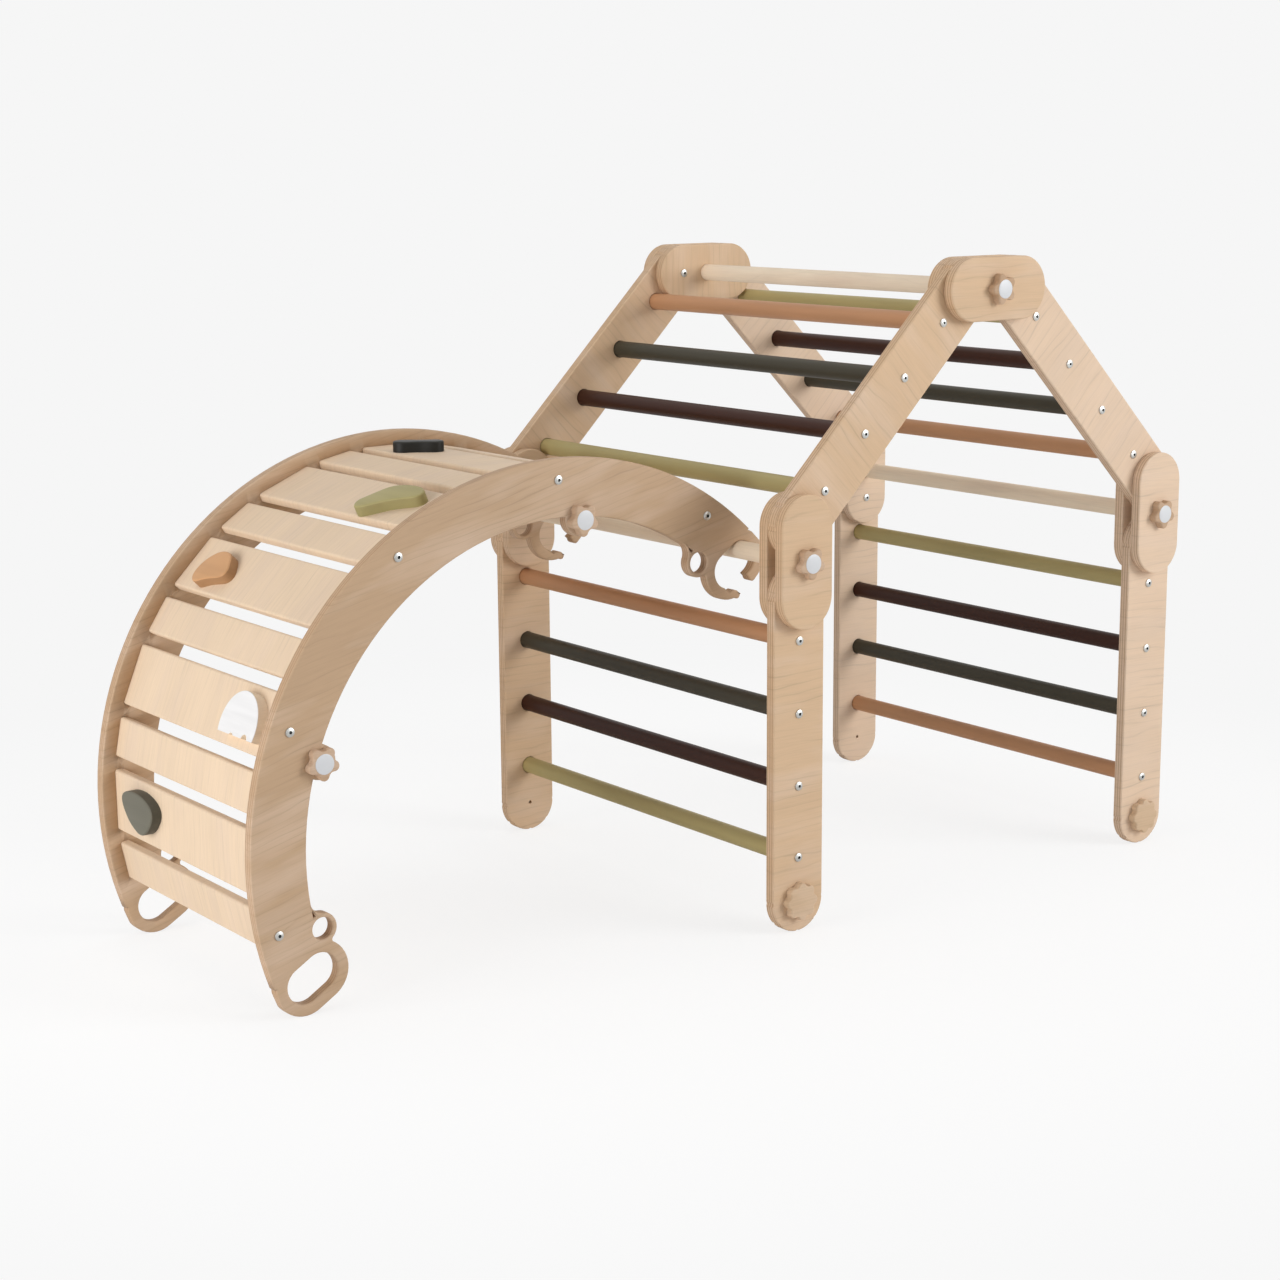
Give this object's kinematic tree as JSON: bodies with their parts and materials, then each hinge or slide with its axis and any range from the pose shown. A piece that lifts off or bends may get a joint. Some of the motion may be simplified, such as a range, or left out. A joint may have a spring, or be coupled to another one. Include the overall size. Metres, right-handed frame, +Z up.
{
  "type": "folding climbing frame with arch",
  "caption": "Folding wooden climbing frame: rung ladders hinged by slotted plates with star lock knobs, and a slatted arch hooked on one shoulder rung.",
  "frame": {"origin": "on the floor, at the middle of the footprint of the whole set", "axes": "+X from the foot of the arch to the frame, +Y across to the far side, +Z up"},
  "size_m": [1.676, 0.8182, 1.0088],
  "materials": {
    "birch_ply": "clear lacquered birch plywood",
    "natural_beech": "clear lacquered solid wood",
    "star_wood": "oiled solid wood, white cap",
    "peach_paint": "satin terracotta paint on wood",
    "slate_paint": "satin grey-green paint on wood",
    "brown_paint": "satin dark brown paint on wood",
    "olive_paint": "satin olive paint on wood",
    "white_paint": "satin white paint on wood",
    "black_paint": "satin black paint on wood",
    "screw_steel": "bright plated steel screws"
  },
  "bodies": {
    "top_joint": {"top_plates": "birch_ply", "top_pivots": "screw_steel", "top_rung": "natural_beech"},
    "left_upright": {"left_upright_rails": "birch_ply", "left_upright_bolts": "screw_steel", "left_upright_rung_1": "olive_paint", "left_upright_rung_2": "brown_paint", "left_upright_rung_3": "slate_paint", "left_upright_rung_4": "peach_paint"},
    "left_roof": {"left_roof_rails": "birch_ply", "left_roof_bolts": "screw_steel", "left_roof_rung_1": "olive_paint", "left_roof_rung_2": "brown_paint", "left_roof_rung_3": "slate_paint", "left_roof_rung_4": "peach_paint"},
    "right_roof": {"right_roof_rails": "birch_ply", "right_roof_bolts": "screw_steel", "right_roof_rung_1": "peach_paint", "right_roof_rung_2": "slate_paint", "right_roof_rung_3": "brown_paint", "right_roof_rung_4": "olive_paint"},
    "right_upright": {"right_upright_rails": "birch_ply", "right_upright_bolts": "screw_steel", "right_upright_rung_1": "peach_paint", "right_upright_rung_2": "slate_paint", "right_upright_rung_3": "brown_paint", "right_upright_rung_4": "olive_paint"},
    "left_shoulder": {"left_shoulder_plates": "birch_ply", "left_shoulder_pivots": "screw_steel", "left_shoulder_rung": "natural_beech"},
    "right_shoulder": {"right_shoulder_plates": "birch_ply", "right_shoulder_pivots": "screw_steel", "right_shoulder_rung": "natural_beech"},
    "arch": {"arch_panel_near": "birch_ply", "arch_panel_far": "birch_ply", "arch_slats_wide": "natural_beech", "arch_slats_narrow": "natural_beech", "arch_screws": "screw_steel", "arch_crossbar_upper": "natural_beech", "arch_crossbar_lower": "natural_beech", "grip_grey_drop": "slate_paint", "grip_white_dome": "white_paint", "grip_peach_drop": "peach_paint", "grip_olive_drop": "olive_paint", "grip_black_bar": "black_paint"},
    "left_shoulder_knob_near": {"left_shoulder_knob_near": "star_wood"},
    "top_knob_near": {"top_knob_near": "star_wood"},
    "right_shoulder_knob_near": {"right_shoulder_knob_near": "star_wood"},
    "left_foot_knob_near": {"left_foot_knob_near": "star_wood"},
    "right_foot_knob_near": {"right_foot_knob_near": "star_wood"},
    "left_shoulder_knob_far": {"left_shoulder_knob_far": "star_wood"},
    "top_knob_far": {"top_knob_far": "star_wood"},
    "right_shoulder_knob_far": {"right_shoulder_knob_far": "star_wood"},
    "left_foot_knob_far": {"left_foot_knob_far": "star_wood"},
    "right_foot_knob_far": {"right_foot_knob_far": "star_wood"},
    "arch_knob_upper_near": {"arch_knob_upper_near": "star_wood"},
    "arch_knob_upper_far": {"arch_knob_upper_far": "star_wood"},
    "arch_knob_lower_near": {"arch_knob_lower_near": "star_wood"},
    "arch_knob_lower_far": {"arch_knob_lower_far": "star_wood"}
  },
  "joints": [
    {"name": "top_left_pivot", "type": "hinge", "parent": "top_joint", "child": "left_roof", "pos_m": [0.35028, 0, 0.95975], "axis": [0, 1, 0], "range_deg": [-35, 135]},
    {"name": "left_shoulder_upper_pivot", "type": "hinge", "parent": "left_roof", "child": "left_shoulder", "pos_m": [0.01653, 0, 0.626], "axis": [0, -1, 0], "range_deg": [-90, 45]},
    {"name": "left_shoulder_lower_pivot", "type": "hinge", "parent": "left_shoulder", "child": "left_upright", "pos_m": [0.01653, 0, 0.521], "axis": [0, -1, 0], "range_deg": [-45, 90]},
    {"name": "top_right_pivot", "type": "hinge", "parent": "top_joint", "child": "right_roof", "pos_m": [0.45528, 0, 0.95975], "axis": [0, -1, 0], "range_deg": [-35, 135]},
    {"name": "right_shoulder_upper_pivot", "type": "hinge", "parent": "right_roof", "child": "right_shoulder", "pos_m": [0.78904, 0, 0.626], "axis": [0, 1, 0], "range_deg": [-135, 45]},
    {"name": "right_shoulder_lower_pivot", "type": "hinge", "parent": "right_shoulder", "child": "right_upright", "pos_m": [0.78904, 0, 0.521], "axis": [0, 1, 0], "range_deg": [-90, 90]},
    {"name": "arch_hook_hinge", "type": "hinge", "parent": "left_shoulder", "child": "arch", "pos_m": [0.01653, 0.01, 0.5603], "axis": [0, 1, 0], "range_deg": [0, 40]},
    {"name": "left_shoulder_knob_near_turn", "type": "hinge", "parent": "left_shoulder", "child": "left_shoulder_knob_near", "pos_m": [0.01653, -0.3793, 0.5735], "axis": [0, -1, 0], "continuous": true},
    {"name": "top_knob_near_turn", "type": "hinge", "parent": "top_joint", "child": "top_knob_near", "pos_m": [0.40278, -0.3793, 0.95975], "axis": [0, -1, 0], "continuous": true},
    {"name": "right_shoulder_knob_near_turn", "type": "hinge", "parent": "right_shoulder", "child": "right_shoulder_knob_near", "pos_m": [0.78904, -0.3793, 0.5735], "axis": [0, -1, 0], "continuous": true},
    {"name": "left_foot_knob_near_turn", "type": "hinge", "parent": "left_upright", "child": "left_foot_knob_near", "pos_m": [0.01653, -0.362, 0.049], "axis": [0, -1, 0], "continuous": true},
    {"name": "right_foot_knob_near_turn", "type": "hinge", "parent": "right_upright", "child": "right_foot_knob_near", "pos_m": [0.78904, -0.362, 0.049], "axis": [0, -1, 0], "continuous": true},
    {"name": "left_shoulder_knob_far_turn", "type": "hinge", "parent": "left_shoulder", "child": "left_shoulder_knob_far", "pos_m": [0.01653, 0.3793, 0.5735], "axis": [0, 1, 0], "continuous": true},
    {"name": "top_knob_far_turn", "type": "hinge", "parent": "top_joint", "child": "top_knob_far", "pos_m": [0.40278, 0.3793, 0.95975], "axis": [0, 1, 0], "continuous": true},
    {"name": "right_shoulder_knob_far_turn", "type": "hinge", "parent": "right_shoulder", "child": "right_shoulder_knob_far", "pos_m": [0.78904, 0.3793, 0.5735], "axis": [0, 1, 0], "continuous": true},
    {"name": "left_foot_knob_far_turn", "type": "hinge", "parent": "left_upright", "child": "left_foot_knob_far", "pos_m": [0.01653, 0.362, 0.049], "axis": [0, 1, 0], "continuous": true},
    {"name": "right_foot_knob_far_turn", "type": "hinge", "parent": "right_upright", "child": "right_foot_knob_far", "pos_m": [0.78904, 0.362, 0.049], "axis": [0, 1, 0], "continuous": true},
    {"name": "arch_knob_upper_near_turn", "type": "hinge", "parent": "arch", "child": "arch_knob_upper_near", "pos_m": [-0.28466, -0.224, 0.64994], "axis": [0, -1, 0], "continuous": true},
    {"name": "arch_knob_upper_far_turn", "type": "hinge", "parent": "arch", "child": "arch_knob_upper_far", "pos_m": [-0.28466, 0.244, 0.64994], "axis": [0, 1, 0], "continuous": true},
    {"name": "arch_knob_lower_near_turn", "type": "hinge", "parent": "arch", "child": "arch_knob_lower_near", "pos_m": [-0.72593, -0.224, 0.35733], "axis": [0, -1, 0], "continuous": true},
    {"name": "arch_knob_lower_far_turn", "type": "hinge", "parent": "arch", "child": "arch_knob_lower_far", "pos_m": [-0.72593, 0.244, 0.35733], "axis": [0, 1, 0], "continuous": true}
  ]
}
